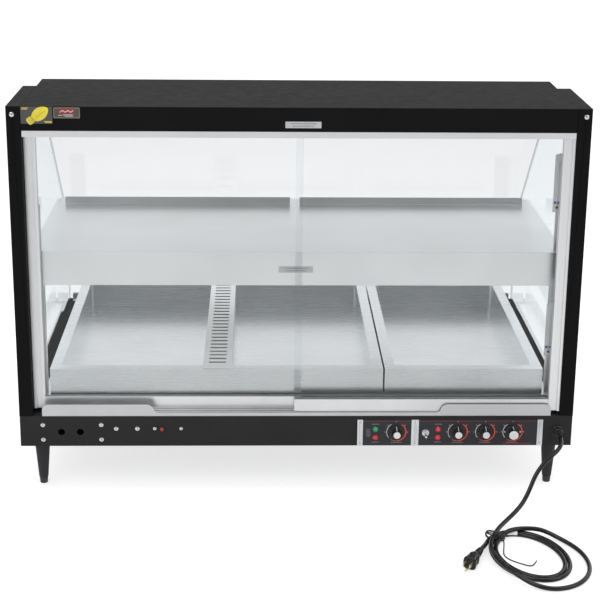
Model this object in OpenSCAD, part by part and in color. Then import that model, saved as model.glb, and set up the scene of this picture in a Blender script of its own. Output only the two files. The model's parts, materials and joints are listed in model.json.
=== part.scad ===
// Countertop hot food display case: two heated levels, sliding doors on the operator's side
// (-Y) and one bent glass pane on the customer's side (+Y). +Z is up and the feet stand on z = 0.

/* [Case] */
// Overall width over the side posts
case_w = 1156; // [1100:2:1200]
// Depth of the base
case_d = 650; // [640:2:660]
// Overall height
case_h = 824; // [810:2:840]
// Height of the legs
leg_h = 102; // [90:2:110]
// Height of the base housing
base_h = 67; // [64:1:70]
// Depth of the canopy
canopy_d = 300; // [290:2:304]
// Height of the canopy
canopy_h = 49; // [46:1:54]
// Width of a side post
post_w = 28; // [26:1:30]

/* [Customer glass] */
// Lean of the upper part of the pane, in degrees from upright
glass_tilt = 43; // [42:0.5:44]
// Outside radius of the bend
glass_bend_r = 250; // [240:5:260]
// Thickness of the fixed glass
glass_t = 5; // [4:0.5:5]

/* [Shelf and trays] */
// Depth of the heated shelf
shelf_d = 420; // [400:10:430]
// Height of the shelf's top surface
shelf_top = 515; // [505:1:525]
// Height of the shelf's apron
shelf_h = 72; // [66:1:76]
// Height of the trays' rim
tray_top = 259; // [250:1:265]
// Width of the flat rim of a tray
tray_rim = 22; // [18:1:26]

/* [Doors] */
// Overlap of the two doors at the middle
door_lap = 17; // [12:1:24]
// Width of a door's grooved pull stile
stile_w = 24; // [22:1:28]
// Thickness of the door glass
door_glass_t = 4; // [3:0.5:5]

/* [Controls] */
// Radius of a control knob
knob_r = 14; // [12:0.5:15]
// How far a knob stands out of the base
knob_out = 20; // [16:1:22]

/* [Cord] */
// Diameter of the mains cord
cord_dia = 9; // [8:0.5:10]

/* [Hidden] */
$fn = 48;

half_w = case_w / 2;
inner_w = half_w - post_w;
deck_z = leg_h + base_h;
canopy_z = case_h - canopy_h;
front_y = -(case_d - knob_out) / 2;
sheet = 1.5;
thin = 1.2;
eps = 1;
black = [0.13, 0.13, 0.13];
steel = [0.80, 0.81, 0.82];
alloy = [0.85, 0.86, 0.87];
clear = [0.75, 0.85, 0.88, 0.35];

// Base and deck
sill_top = deck_z + 36;
sill_x = [535, 558];
heated_top = deck_z + 32;
heated_x = 533;
heated_y = [36.5, 622];
well_x = 520;
well_y = [50, 612];
leg_x = 539;
leg_inset = 42;
stud_r = 4.5;
foot_top = 14;
foot_pin_r = 5;

// Posts and canopy
post_d = 48;
arm_d = 219;
arm_z = canopy_z - 7;
canopy_rods = [80, 250];
lamp_places = [-360, 0, 360];
lamp_y = 165;
lamp_z = canopy_z + 22;

// Customer glass: a straight foot, a bend, and a leaning upper part
glass_y = case_d - 12;
glass_w = 550.4;
bend_y = glass_y - glass_bend_r;
glass_top_y = canopy_d + 8.3;
bend_z = canopy_z - glass_bend_r * sin(glass_tilt)
    - (bend_y + glass_bend_r * cos(glass_tilt) - glass_top_y) / tan(glass_tilt);
glass_foot = sill_top - 6;
side_glass_x = [551, 556];

// Shelf
shelf_y = [40, 40 + shelf_d];
shelf_w = 548;
shelf_bottom = shelf_top - shelf_h;
upright_x = [523, 533];
upright_y = [44, 58];
upright_top = 612;
rail_y = [402, 408];
shelf_rods = [150, 350];

// Trays: the left one spans two pan bays
tray_w = 517;
tray_split = 180;
tray_gap = 3.5;
tray_y = [38, 618];
tray_foot = heated_top + 0.3;
tray_floor = tray_foot + 1.7;
vent_x = (tray_split - tray_w) / 2;
vent_w = 60;
vent_slots = 25;
vent_slot_w = 7;
vent_slot_l = 36;

// Doors: the left one runs in the inner track, the right one in the outer
track_y = [3, 36];
track_top = deck_z + 8;
guard_x = 531;
outer_door_y = 11;
inner_door_y = 27;
groove_w = 7;
door_edge = inner_w - 0.5;
door_top = canopy_z - 13.5;
door_rail_top = 204;
door_glass_top = canopy_z - 5;

// Controls on the base's front
panel_z = [103, 161];
panel_left_x = [137, 238.8];
panel_right_x = [254.2, 504];
knob_z = 133.3;
knob_x = [207.4, 336.6, 394.5, 452.2];
shaft_r = 3;
run_gap = 0.05;
toggle_x = 269;
toggle_z = 131.3;
toggle_tilt = 14;
lamp_red = [[163.5, 121], [295, 139.5], [295, 121]];
lamp_green = [163.5, 139.7];
reset_x = -283;
reset_z = 141;
reset_r = 2.8;
gland_x = 547;
gland_z = 134;
screw_r = 2;
head_r = 5;
big_screws = [[-530, 150], [-530, 117], [-409, 150], [-409, 117], [-378, 141.5], [-334, 141.5]];
small_screws = [[-298, 141.5], [-243, 141.5]];
bracket_x = [[125.5, 137], [238.8, 254.2], [504, 515.5]];
air_holes = [[-492, 133.5], [-453, 133.5]];
post_screws = [[-566, 808], [566, 808]];

// Cord: the boot ends at the first point, and the last lies in the coil
cord_route = [
    [547, -36, 134], [546, -55, 132], [538, -72, 127], [523, -83, 119], [507, -90, 108], [494, -96, 94],
    [483, -103, 78], [475, -111, 61], [466, -120, 45], [455, -131, 32], [441, -144, 23], [427, -159, 18],
    [414, -175, 16], [402, -192, 15]
];
cord_sides = 10;
coil_mid = [460, -294];
coil_turn = -70;
coil_r = 86;
coil_half = 46;
coil_hole_mid = [446, -288];
coil_hole_r = 49;
coil_hole_half = 34;
coil_h = 20;
plug_from = [349, -283.5];
plug_turn = 241;
plug_z = 13.5;

// Helpers: a block between two values on each axis, and cylinders along an axis
module block(x, y, z) {
    translate([x[0], y[0], z[0]]) cube([x[1] - x[0], y[1] - y[0], z[1] - z[0]]);
}
module rod_y(x, z, r, y) {
    translate([x, y[0], z]) rotate([-90, 0, 0]) cylinder(r = r, h = y[1] - y[0]);
}
module rod_x(y, z, r, x) {
    translate([x[0], y, z]) rotate([0, 90, 0]) cylinder(r = r, h = x[1] - x[0]);
}
module rounded(x, y, z, r) {
    block([x[0] + r, x[1] - r], y, z);
    block(x, [y[0] + r, y[1] - r], z);
    for (cx = [x[0] + r, x[1] - r], cy = [y[0] + r, y[1] - r])
        translate([cx, cy, z[0]]) cylinder(r = r, h = z[1] - z[0]);
}
module place() {
    translate([0, front_y, 0]) children();
}
module both_sides() {
    children();
    mirror([1, 0, 0]) children();
}
module at_screws(places) {
    for (p = places) translate([p[0], 0, p[1]]) children();
}

// Base
module base_housing() {
    color(black) place() difference() {
        rounded([-half_w, half_w], [0, case_d], [leg_h, deck_z], 3);
        block([sheet - half_w, half_w - sheet], [sheet, case_d - sheet], [leg_h - eps, deck_z - sheet]);
        block([-well_x, well_x], well_y, [deck_z - sheet - eps, deck_z + eps]);
        block([145, 232], [-eps, sheet + eps], [108, 156]);
        block([262, 498], [-eps, sheet + eps], [108, 156]);
        at_screws(air_holes) rod_y(0, 0, 7.2, [-eps, sheet + eps]);
        at_screws(concat(big_screws, small_screws)) rod_y(0, 0, screw_r + 0.2, [-eps, sheet + eps]);
        rod_y(reset_x, reset_z, reset_r + run_gap, [-eps, sheet + eps]);
        rod_y(gland_x, gland_z, 8.2, [-eps, sheet + eps]);
    }
}
module bottom_pan() {
    color(steel) place() difference() {
        block([sheet - half_w, half_w - sheet], [sheet, case_d - sheet], [leg_h, leg_h + thin]);
        for (x = [-leg_x, leg_x], y = [leg_inset, case_d - leg_inset])
            translate([x, y, leg_h - eps]) cylinder(r = stud_r + 0.3, h = thin + 2 * eps);
        for (x = [-400:100:400], y = [220, 430])
            block([x - 30, x + 30], [y - 3, y + 3], [leg_h - eps, leg_h + thin + eps]);
    }
}
module at_legs() {
    for (x = [-leg_x, leg_x], y = [leg_inset, case_d - leg_inset]) translate([x, y, 0]) children();
}
module legs() {
    color([0.25, 0.25, 0.27]) place() at_legs() difference() {
        union() {
            translate([0, 0, foot_top]) cylinder(r1 = 9.8, r2 = 16.6, h = leg_h - foot_top);
            translate([0, 0, leg_h - 2]) cylinder(r = 17.5, h = 2);
            translate([0, 0, leg_h]) cylinder(r = stud_r, h = 10);
        }
        translate([0, 0, foot_top - eps]) cylinder(r = foot_pin_r + run_gap, h = 15);
    }
}
module leg_feet() {
    color([0.2, 0.2, 0.21]) place() at_legs() {
        cylinder(r1 = 8, r2 = 9, h = foot_top);
        translate([0, 0, foot_top]) cylinder(r = foot_pin_r, h = 13);
    }
}
module heated_deck() {
    color(steel) place() difference() {
        block([-heated_x, heated_x], heated_y, [deck_z, heated_top]);
        block([thin - heated_x, heated_x - thin], [heated_y[0] + thin, heated_y[1] - thin],
            [deck_z - eps, heated_top - thin]);
        block([vent_x - vent_slot_l / 2, vent_x + vent_slot_l / 2], [75, 580],
            [heated_top - thin - eps, heated_top + eps]);
    }
}
module side_sill() {
    difference() {
        block(sill_x, [50, 625], [deck_z, sill_top]);
        block([sill_x[0] + thin, sill_x[1] - thin], [50 + thin, 625 - thin], [deck_z - eps, sill_top - thin]);
    }
}
module side_sills() {
    color(black) place() both_sides() side_sill();
}
module glass_sill() {
    color(black) place() difference() {
        block([-sill_x[1], sill_x[1]], [625, case_d - sheet], [deck_z, sill_top]);
        block([thin - sill_x[1], sill_x[1] - thin], [625 + thin, case_d - sheet - thin],
            [deck_z - eps, sill_top - 15]);
        block([-glass_w - 0.3, glass_w + 0.3], [glass_y - glass_t - 0.3, glass_y + 0.3],
            [glass_foot, sill_top + eps]);
    }
}

// Side posts with the arms that carry the canopy
module post() {
    outer = [[0, deck_z], [post_d, deck_z], [post_d, arm_z], [arm_d, arm_z], [arm_d, case_h], [0, case_h]];
    inner = [[sheet, deck_z - eps], [post_d - sheet, deck_z - eps], [post_d - sheet, arm_z + sheet],
        [arm_d - sheet, arm_z + sheet], [arm_d - sheet, case_h - sheet], [sheet, case_h - sheet]];
    translate([inner_w, 0, 0]) difference() {
        rotate([90, 0, 90]) linear_extrude(post_w) polygon(outer);
        translate([sheet, 0, 0]) rotate([90, 0, 90]) linear_extrude(post_w - 2 * sheet) polygon(inner);
        rod_y(post_screws[1][0] - inner_w, post_screws[1][1], screw_r + 0.2, [-eps, sheet + eps]);
    }
}
module post_right() {
    color(black) place() post();
}
module post_left() {
    color(black) place() mirror([1, 0, 0]) post();
}

// Canopy
module canopy_shell() {
    w = inner_w - 0.3;
    color(black) place() {
        difference() {
            block([-w, w], [0, canopy_d], [canopy_z, case_h]);
            block([thin - w, w - thin], [thin, canopy_d - thin], [canopy_z - eps, case_h - thin]);
        }
        block([thin - w, w - thin], [thin, 38], [canopy_z, canopy_z + thin]);
    }
}
module canopy_reflector() {
    w = inner_w - 2.5;
    color(steel) place() difference() {
        block([-w, w], [38.5, canopy_d - 2], [canopy_z, canopy_z + thin]);
        for (x = lamp_places)
            block([x - 80, x + 80], [lamp_y - 32, lamp_y + 32], [canopy_z - eps, canopy_z + 3]);
        for (y = canopy_rods) block([-490, 490], [y - 12, y + 12], [canopy_z - eps, canopy_z + 3]);
    }
}
module lamp_sockets() {
    color([0.9, 0.9, 0.88]) place() for (x = lamp_places) difference() {
        union() {
            rod_x(lamp_y, lamp_z, 15, [x - 75, x - 40]);
            block([x - 75, x - 72], [lamp_y - 20, lamp_y + 20], [canopy_z + 5, case_h - thin]);
        }
        rod_x(lamp_y, lamp_z, 10.2, [x - 65, x - 39]);
    }
}
module lamp_bulbs() {
    color([0.95, 0.93, 0.85]) place() for (x = lamp_places) {
        rod_x(lamp_y, lamp_z, 10, [x - 65, x - 38]);
        rod_x(lamp_y, lamp_z, 14, [x - 38, x + 36]);
        translate([x + 36, lamp_y, lamp_z]) sphere(r = 14);
    }
}
// A sheathed heating rod with a ceramic bush at each end and a foot that holds each bush
module heating_rod(x, y, z, foot) {
    rod_x(y, z, 4, x);
    for (e = [x[0], x[1] - 12]) rod_x(y, z, 6.5, [e, e + 12]);
    for (e = [x[0] + 2, x[1] - 10]) block([e, e + 8], [y - 2, y + 2], [min(z, foot), max(z, foot)]);
}
module upper_elements() {
    color([0.35, 0.34, 0.33]) place() {
        for (y = canopy_rods) heating_rod([-480, 480], y, canopy_z + 14, case_h - thin);
        for (y = shelf_rods) heating_rod([-480, 480], y, shelf_bottom + 20, shelf_top - thin);
    }
}

// Door tracks and guard
module top_track() {
    color(alloy) place() difference() {
        block([1 - inner_w, inner_w - 1], track_y, [canopy_z - 13, canopy_z]);
        for (y = [outer_door_y, inner_door_y]) block([-inner_w, inner_w],
            [y - groove_w / 2, y + groove_w / 2], [canopy_z - 14, canopy_z - 2]);
    }
}
module bottom_track() {
    color(alloy) place() difference() {
        block([-guard_x, guard_x], track_y, [deck_z, track_top]);
        for (y = [outer_door_y, inner_door_y]) block([-inner_w, inner_w],
            [y - groove_w / 2, y + groove_w / 2], [deck_z + 1.5, track_top + eps]);
    }
}
module door_guard() {
    low = deck_z + 7;
    high = deck_z + 25.5;
    corner = [for (a = [0:15:90]) [guard_x - 13 + 13 * cos(a), high - 13 + 13 * sin(a)]];
    side = concat([[guard_x, deck_z]], corner, [[311, high], [302, high - 5], [297, low + 3], [292, low]]);
    mirrored = [for (i = [len(side) - 1:-1:0]) [-side[i][0], side[i][1]]];
    color(steel) place() {
        translate([0, 2, 0]) rotate([90, 0, 0]) linear_extrude(thin) polygon(concat(side, mirrored));
        block([-guard_x, guard_x], [0.5, 3], [deck_z, deck_z + thin]);
    }
}

// Sliding doors, drawn at the right-hand side and mirrored for the left
module door_glass(y) {
    block([-door_lap / 2 + 1.5, door_edge - stile_w + 6], [y - door_glass_t / 2, y + door_glass_t / 2],
        [door_rail_top - 6, door_glass_top]);
}
module door_stile(y) {
    difference() {
        block([door_edge - stile_w, door_edge], [y - 6, y + 6], [track_top + 0.5, door_top]);
        block([door_edge - stile_w + 7, door_edge - 6], [y - 7, y - 2.5], [track_top, door_top + eps]);
        block([door_edge - stile_w - eps, door_edge - stile_w + 6],
            [y - door_glass_t / 2, y + door_glass_t / 2], [door_rail_top - 6, door_top + eps]);
    }
}
module door_rail(y) {
    difference() {
        block([-door_lap / 2 + 1.5, door_edge - stile_w], [y - 5, y + 5], [track_top + 0.5, door_rail_top]);
        block([-door_lap, door_edge], [y - door_glass_t / 2, y + door_glass_t / 2],
            [door_rail_top - 6, door_rail_top + eps]);
    }
    block([0, door_edge - stile_w], [y - 2.5, y + 2.5], [deck_z + 2, track_top + 0.5]);
}
module door_glass_right() {
    color(clear) place() door_glass(outer_door_y);
}
module door_stile_right() {
    color(alloy) place() door_stile(outer_door_y);
}
module door_rail_right() {
    color(alloy) place() door_rail(outer_door_y);
}
module door_glass_left() {
    color(clear) place() mirror([1, 0, 0]) door_glass(inner_door_y);
}
module door_stile_left() {
    color(alloy) place() mirror([1, 0, 0]) door_stile(inner_door_y);
}
module door_rail_left() {
    color(alloy) place() mirror([1, 0, 0]) door_rail(inner_door_y);
}

// Fixed glass: the region under the pane's outline, set in by a distance
module glass_region(inset) {
    r = glass_bend_r - inset;
    lean_y = bend_y + r * cos(glass_tilt);
    lean_z = bend_z + r * sin(glass_tilt);
    square([glass_y - inset, bend_z]);
    translate([bend_y, bend_z]) circle(r = r);
    polygon([[0, bend_z], [bend_y, bend_z], [lean_y, lean_z],
        [lean_y - (case_h + 50 - lean_z) * tan(glass_tilt), case_h + 50], [0, case_h + 50]]);
}
module curved_glass() {
    color(clear) place() translate([-glass_w, 0, 0]) rotate([90, 0, 90]) linear_extrude(2 * glass_w)
        intersection() {
            difference() {
                glass_region(0);
                glass_region(glass_t);
            }
            translate([canopy_d, glass_foot]) square([case_d, canopy_z - glass_foot - 2]);
        }
}
module side_glass() {
    translate([side_glass_x[0], 0, 0]) rotate([90, 0, 90])
        linear_extrude(side_glass_x[1] - side_glass_x[0]) intersection() {
            glass_region(0);
            translate([post_d, sill_top]) square([case_d, arm_z - sill_top - 0.5]);
        }
}
module side_glass_right() {
    color(clear) place() side_glass();
}
module side_glass_left() {
    color(clear) place() mirror([1, 0, 0]) side_glass();
}
module glass_clamp() {
    profile = [[300, 800], [302, 800], [302, 780], [311, 778.5], [326, 762.5], [324.3, 761],
        [310.2, 776], [300, 777.5]];
    color(alloy) place() translate([2 - glass_w, 0, 0]) rotate([90, 0, 90])
        linear_extrude(2 * glass_w - 4) translate([canopy_d - 300, canopy_z - 775]) polygon(profile);
}
module glass_clips() {
    x = [520, 545];
    inner = glass_y - glass_t;
    color(steel) place() both_sides() {
        block(x, [inner - thin, inner], [sill_top, sill_top + 18]);
        block(x, [625, inner], [sill_top, sill_top + thin]);
        block(x, [glass_y, glass_y + thin], [sill_top, sill_top + 18]);
        block(x, [glass_y, case_d - sheet], [sill_top, sill_top + thin]);
    }
}

// Heated shelf
module upright_notches() {
    both_sides() block([upright_x[0] - 0.5, upright_x[1] + 0.5], [upright_y[0] - 0.5, upright_y[1] + 0.5],
        [shelf_bottom - eps, shelf_top + eps]);
}
module shelf_shell() {
    color(steel) place() difference() {
        block([-shelf_w, shelf_w], shelf_y, [shelf_bottom, shelf_top]);
        block([thin - shelf_w, shelf_w - thin], [shelf_y[0] + thin, shelf_y[1] - thin],
            [shelf_bottom - eps, shelf_top - thin]);
        upright_notches();
    }
}
module shelf_bottom_pan() {
    color(steel) place() difference() {
        block([thin - shelf_w, shelf_w - thin], [shelf_y[0] + thin, shelf_y[1] - thin],
            [shelf_bottom, shelf_bottom + thin]);
        for (y = shelf_rods) block([-490, 490], [y - 12, y + 12], [shelf_bottom - eps, shelf_bottom + 3]);
        upright_notches();
    }
}
// Two stops along the back of the shelf, with a gap between them
module shelf_rails() {
    color(steel) place() for (x = [[-524, -11], [11, 524]]) {
        block(x, rail_y, [shelf_top, shelf_top + 2]);
        block(x, [rail_y[1] - thin, rail_y[1]], [shelf_top, shelf_top + 18]);
    }
}
module shelf_uprights() {
    color(steel) place() both_sides() {
        difference() {
            block(upright_x, upright_y, [heated_top, shelf_top]);
            block([upright_x[0] + thin, upright_x[1] + eps], [upright_y[0] + thin, upright_y[1] - thin],
                [heated_top - eps, shelf_top - thin]);
        }
        block([upright_x[0] + 3, upright_x[1] - 1], [upright_y[0] + 4, upright_y[1] - 4],
            [shelf_top, upright_top]);
    }
}
module thermometer(x, z) {
    difference() {
        block([x - 8, x + 8], [41.8, 44], z);
        block([x - 2, x + 2], [41, 42.8], [z[0] + 12, z[1] - 10]);
    }
    rod_y(x, z[0] + 10, 3.2, [40.6, 42]);
    translate([x, 42, z[0] + 10]) cylinder(r = 1, h = z[1] - z[0] - 24);
}
// One thermometer is fixed to an upright, and the other hangs on a wire hook from the canopy
module thermometers() {
    color("white") place() {
        thermometer(526, [287, 404]);
        thermometer(526, [601, 722]);
        block([525, 545], [42, 44], [722, 724]);
        block([543, 545], [42, 44], [724, canopy_z]);
    }
}

// Lift-out trays: a pan with a flat rim and a turned-down skirt
module tray(x) {
    y = tray_y;
    r = tray_rim;
    difference() {
        block(x, y, [tray_foot, tray_top]);
        rounded([x[0] + r, x[1] - r], [y[0] + r, y[1] - r], [tray_floor, tray_top + eps], 8);
        difference() {
            block([x[0] + thin, x[1] - thin], [y[0] + thin, y[1] - thin], [tray_foot - eps, tray_top - thin]);
            rounded([x[0] + r - thin, x[1] - r + thin], [y[0] + r - thin, y[1] - r + thin],
                [tray_foot - 2 * eps, tray_top], 9.5);
        }
    }
}
// The wide tray is one sheet with two bays, shown as two halves that meet along the middle of the vent slot
module wide_tray_half(x) {
    color(steel) place() intersection() {
        difference() {
            tray([-tray_w, tray_split]);
            block([vent_x - vent_slot_l / 2, vent_x + vent_slot_l / 2], [75, 580],
                [tray_foot - eps, tray_floor + eps]);
        }
        block(x, tray_y, [tray_foot, tray_top]);
    }
}
module tray_left() {
    wide_tray_half([-tray_w, vent_x]);
}
module tray_left_inner() {
    wide_tray_half([vent_x, tray_split]);
}
module tray_right() {
    color(steel) place() tray([tray_split + tray_gap, tray_w]);
}
module vent_cover() {
    top = [tray_top + 0.8, tray_top + 2.3];
    x = [vent_x - vent_w / 2, vent_x + vent_w / 2];
    y = [tray_y[0] + tray_rim + 1.5, tray_y[1] - tray_rim - 1.5];
    pitch = (y[1] - y[0]) / vent_slots;
    color(alloy) place() {
        difference() {
            block(x, tray_y, top);
            for (i = [0:vent_slots - 1]) block(
                [vent_x - vent_slot_l / 2, vent_x + vent_slot_l / 2],
                [y[0] + (i + 0.5) * pitch - vent_slot_w / 2, y[0] + (i + 0.5) * pitch + vent_slot_w / 2],
                [top[0] - eps, top[1] + eps]);
        }
        for (s = [x[0], x[1] - 1.2]) block([s, s + 1.2], y, [tray_floor + 0.4, top[0]]);
    }
}

// Humidity: a water pan under the vent cover, and its heater
module water_pan() {
    color(steel) place() difference() {
        block([vent_x - 57, vent_x + 57], [62, 588], [120, deck_z]);
        block([vent_x - 55.5, vent_x + 55.5], [63.5, 586.5], [120 + thin, deck_z + eps]);
    }
}
module lower_elements() {
    color([0.35, 0.34, 0.33]) place() {
        block([vent_x - 40, vent_x + 40], [110, 540], [116, 120]);
        for (y = [130, 510]) block([vent_x - 30, vent_x + 30], [y, y + 12], [leg_h + thin, 116]);
        for (y = [140, 330, 520]) {
            heating_rod([-500, -240], y, heated_top - 12, heated_top - thin);
            heating_rod([-95, 500], y, heated_top - 12, heated_top - thin);
        }
    }
}

// Controls
module control_panel_left() {
    color([0.18, 0.18, 0.2]) place() difference() {
        block(panel_left_x, [-sheet, 0], panel_z);
        rod_y(knob_x[0], knob_z, shaft_r + 0.5, [-sheet - eps, eps]);
        for (p = [lamp_green, lamp_red[0]]) rod_y(p[0], p[1], 4.7, [-sheet - eps, eps]);
    }
}
module control_panel_right() {
    color([0.18, 0.18, 0.2]) place() difference() {
        block(panel_right_x, [-sheet, 0], panel_z);
        for (i = [1:3]) rod_y(knob_x[i], knob_z, shaft_r + 0.5, [-sheet - eps, eps]);
        for (p = [lamp_red[1], lamp_red[2]]) rod_y(p[0], p[1], 4.7, [-sheet - eps, eps]);
        rod_y(toggle_x, toggle_z, 5.7, [-sheet - eps, eps]);
    }
}
module panel_brackets() {
    color(alloy) place() difference() {
        for (x = bracket_x) block(x, [-3, 0], [panel_z[0] - 0.5, panel_z[1] + 0.5]);
        for (x = bracket_x, z = [panel_z[0] + 5, panel_z[1] - 5])
            rod_y((x[0] + x[1]) / 2, z, 1.7, [-4, eps]);
    }
}
module thermostats() {
    color([0.85, 0.8, 0.7]) place() for (x = knob_x) difference() {
        block([x - 17, x + 17], [0, 22], [knob_z - 17, knob_z + 17]);
        rod_y(x, knob_z, shaft_r + run_gap, [-eps, 20]);
    }
}
module knob(i) {
    color([0.1, 0.1, 0.1]) place() translate([knob_x[i], 0, knob_z]) rotate([90, 0, 0]) {
        translate([0, 0, -18]) cylinder(r = shaft_r, h = 18 + 3);
        translate([0, 0, 2.5]) cylinder(r = knob_r, h = 3);
        translate([0, 0, 5.5]) cylinder(r1 = knob_r - 2.5, r2 = knob_r - 5.8, h = knob_out - 5.5);
    }
}
module knob_humidity() {
    knob(0);
}
module knob_deck() {
    knob(1);
}
module knob_shelf() {
    knob(2);
}
module knob_canopy() {
    knob(3);
}
module toggle_switch() {
    color(steel) place() difference() {
        union() {
            block([toggle_x - 6, toggle_x + 6], [0, 22], [toggle_z - 12, toggle_z + 12]);
            rod_y(toggle_x, toggle_z, 5.5, [-6, 0]);
        }
        rod_y(toggle_x, toggle_z, 4.4, [-7, 3]);
        rod_x(-2, toggle_z, 1.2 + run_gap, [toggle_x - 5, toggle_x + 5]);
    }
}
module toggle_lever() {
    color(alloy) place() translate([toggle_x, -2, toggle_z]) rotate([90 + toggle_tilt, 0, 0]) {
        rod_x(0, 0, 1.2, [-4.9, 4.9]);
        sphere(r = 3.4);
        cylinder(r1 = 1.7, r2 = 2.6, h = 14);
        translate([0, 0, 14]) sphere(r = 2.6);
    }
}
module indicator(p) {
    rod_y(p[0], p[1], 4.5, [-sheet, 18]);
    rod_y(p[0], p[1], 5.8, [-sheet - 1.5, -sheet]);
    rod_y(p[0], p[1], 4.8, [-sheet - 4.5, -sheet - 1.5]);
}
module indicator_green() {
    color([0.05, 0.55, 0.35]) place() indicator(lamp_green);
}
module indicators_red() {
    color([0.8, 0.1, 0.2]) place() for (p = lamp_red) indicator(p);
}
module reset_button() {
    color([0.7, 0.1, 0.1]) place() {
        rod_y(reset_x, reset_z, reset_r, [-2.6, 8]);
        rod_y(reset_x, reset_z, 4, [-4.2, -2.6]);
    }
}
module screw(r) {
    rod_y(0, 0, r, [-1.2, 0]);
    rod_y(0, 0, r - 1.5, [-2.2, -1.2]);
    rod_y(0, 0, screw_r, [0, 6]);
}
module case_screws() {
    color([0.75, 0.76, 0.77]) place() {
        at_screws(concat(big_screws, post_screws)) screw(head_r);
        at_screws(small_screws) screw(3.8);
        for (x = bracket_x, z = [panel_z[0] + 5, panel_z[1] - 5]) translate([(x[0] + x[1]) / 2, -3, z]) {
            rod_y(0, 0, 2.8, [-1.6, 0]);
            rod_y(0, 0, 1.6, [0, 3]);
        }
    }
}
module terminal_block() {
    color([0.9, 0.9, 0.85]) place() difference() {
        block([500, 560], [70, 95], [leg_h + thin, leg_h + thin + 22]);
        for (i = [0:2]) translate([512 + 18 * i, 82.5, 112]) cylinder(r = 3, h = 20);
    }
}

// Mains cord: gland and boot, a free run, the coil, its tie and the plug
module cord_gland() {
    color(black) place() difference() {
        translate([gland_x, 0, gland_z]) rotate([90, 0, 0]) {
            translate([0, 0, -10]) cylinder(r = 8, h = 10);
            cylinder(r = 13, h = 4);
            translate([0, 0, 4]) cylinder(r = 10.5, h = 9);
            translate([0, 0, 13]) cylinder(r1 = 8.5, r2 = 5.6, h = 23);
        }
        rod_y(gland_x, gland_z, cord_dia / 2, [-30, 11]);
    }
}
function unit(v) = v / norm(v);
function along(p, i) = unit(p[min(i + 1, len(p) - 1)] - p[max(i - 1, 0)]);
function across(t) = unit(cross(t, [1, -0.3, -1]));
function ring(p, i, r, n) = let (t = along(p, i), a = across(t), b = cross(t, a))
    [for (k = [0:n - 1]) p[i] + r * (cos(360 * k / n) * a + sin(360 * k / n) * b)];
module swept(p, r, n) {
    last = (len(p) - 1) * n;
    sides = [for (i = [0:len(p) - 2], k = [0:n - 1])
        [i * n + k, i * n + (k + 1) % n, (i + 1) * n + (k + 1) % n, (i + 1) * n + k]];
    caps = [[for (k = [n - 1:-1:0]) k], [for (k = [0:n - 1]) last + k]];
    polyhedron(points = [for (i = [0:len(p) - 1]) each ring(p, i, r, n)], faces = concat(sides, caps));
}
module cord() {
    color(black) place() swept(cord_route, cord_dia / 2, cord_sides);
}
module long_round(mid, r, half, h, z) {
    translate([mid[0], mid[1], z]) rotate([0, 0, coil_turn]) {
        translate([-half, -r, 0]) cube([2 * half, 2 * r, h]);
        for (x = [-half, half]) translate([x, 0, 0]) cylinder(r = r, h = h);
    }
}
module cord_coil() {
    color(black) place() difference() {
        long_round(coil_mid, coil_r, coil_half, coil_h, 0);
        long_round(coil_hole_mid, coil_hole_r, coil_hole_half, coil_h + 2 * eps, -eps);
    }
}
module cord_tie() {
    color(black) place() translate([386, -223, 0]) rotate([0, 0, -30])
        block([-24, 20], [-4, 4], [20, 22.5]);
}
module plug_at() {
    place() translate([plug_from[0], plug_from[1], plug_z])
        rotate([0, 0, plug_turn]) rotate([0, 90, 0]) children();
}
module plug_body() {
    color(black) plug_at() {
        translate([0, 0, -26]) cylinder(r = cord_dia / 2, h = 27);
        cylinder(r1 = 5.6, r2 = 9, h = 26);
        translate([0, 0, 26]) cylinder(r1 = 11, r2 = 13, h = 8);
        translate([0, 0, 34]) cylinder(r = 13, h = 26);
    }
}
module plug_prongs() {
    color([0.8, 0.7, 0.45]) plug_at() translate([0, 0, 60]) {
        for (y = [-6.35, 6.35]) translate([-5.5, y - 0.75, 0]) cube([6.3, 1.5, 17]);
        translate([6, 0, 0]) cylinder(r = 2.4, h = 20);
    }
}

base_housing();
bottom_pan();
legs();
leg_feet();
heated_deck();
side_sills();
glass_sill();
post_left();
post_right();
canopy_shell();
canopy_reflector();
lamp_sockets();
lamp_bulbs();
upper_elements();
top_track();
bottom_track();
door_guard();
door_glass_left();
door_stile_left();
door_rail_left();
door_glass_right();
door_stile_right();
door_rail_right();
curved_glass();
glass_clamp();
glass_clips();
side_glass_left();
side_glass_right();
shelf_shell();
shelf_bottom_pan();
shelf_rails();
shelf_uprights();
thermometers();
tray_left();
tray_left_inner();
tray_right();
vent_cover();
water_pan();
lower_elements();
control_panel_left();
control_panel_right();
panel_brackets();
thermostats();
knob_humidity();
knob_deck();
knob_shelf();
knob_canopy();
toggle_switch();
toggle_lever();
indicator_green();
indicators_red();
reset_button();
case_screws();
terminal_block();
cord_gland();
cord();
cord_coil();
cord_tie();
plug_body();
plug_prongs();
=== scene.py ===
"""Looks of the hot food display case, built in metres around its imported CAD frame."""

import json
import math

import bmesh
import bpy
from mathutils import Matrix, Vector


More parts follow.
